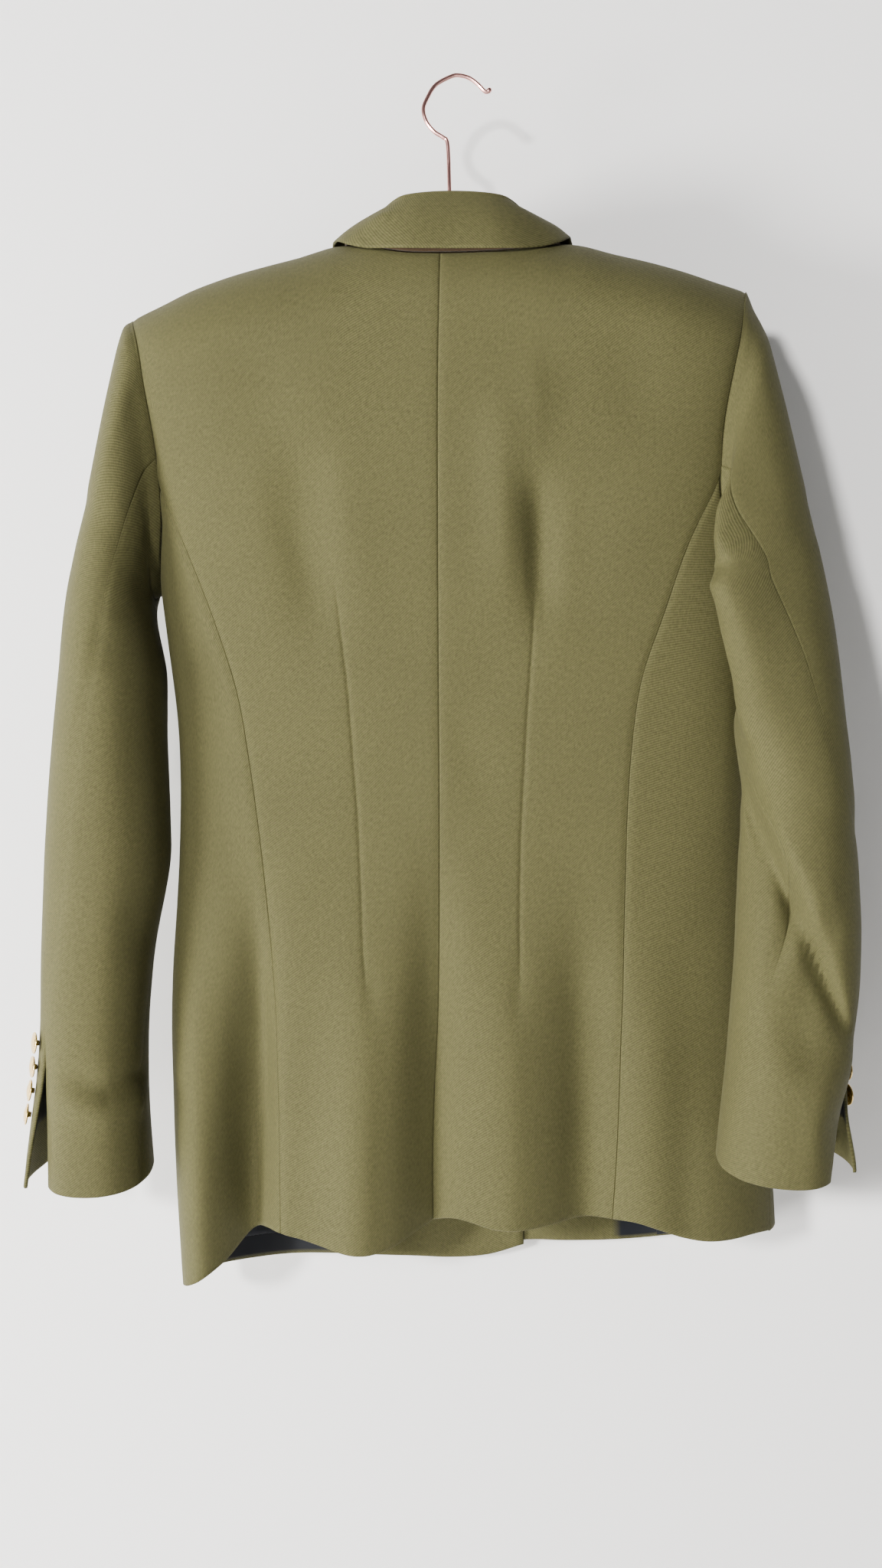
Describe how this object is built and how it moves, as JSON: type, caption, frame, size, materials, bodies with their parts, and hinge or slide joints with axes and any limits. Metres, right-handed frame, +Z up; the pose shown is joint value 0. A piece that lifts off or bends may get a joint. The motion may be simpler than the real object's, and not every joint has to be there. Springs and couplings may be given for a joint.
{
  "type": "blazer on a hanger",
  "caption": "Tailored blazer with princess seams, notch lapels and open cuff vents, hanging on a wire-hook hanger.",
  "frame": {"origin": "top of the bend inside the hanger's wire hook, where a rail or peg holds it", "axes": "+Z up along the garment's length, the garment's back looks along -Y, its left is at -X"},
  "size_m": [0.5704, 0.1875, 0.8685],
  "materials": {
    "twill": "matte wool twill",
    "lining": "black satin",
    "gold": "polished gold-coloured metal",
    "copper": "polished rose copper plating",
    "hanger": "matte dark"
  },
  "bodies": {
    "root": {"back_left": "twill", "back_right": "twill", "side_left": "twill", "side_right": "twill", "front_left": "twill", "front_right": "twill", "lapel_left": "twill", "lapel_right": "twill", "sleeve_upper_left": "twill", "sleeve_upper_right": "twill", "sleeve_under_left": "twill", "sleeve_under_right": "twill", "collar_stand": "twill", "collar_fall": "twill", "lining_left": "lining", "lining_right": "lining", "cuff_lining_right": "lining", "cuff_button_left_1": "gold", "cuff_button_left_2": "gold", "cuff_button_left_3": "gold", "cuff_button_left_4": "gold", "cuff_button_right_1": "gold", "cuff_button_right_2": "gold", "cuff_button_right_3": "gold", "cuff_button_right_4": "gold", "front_button_1": "gold", "front_button_2": "gold", "hanger_hook": "copper", "hanger_body": "hanger"}
  },
  "joints": []
}
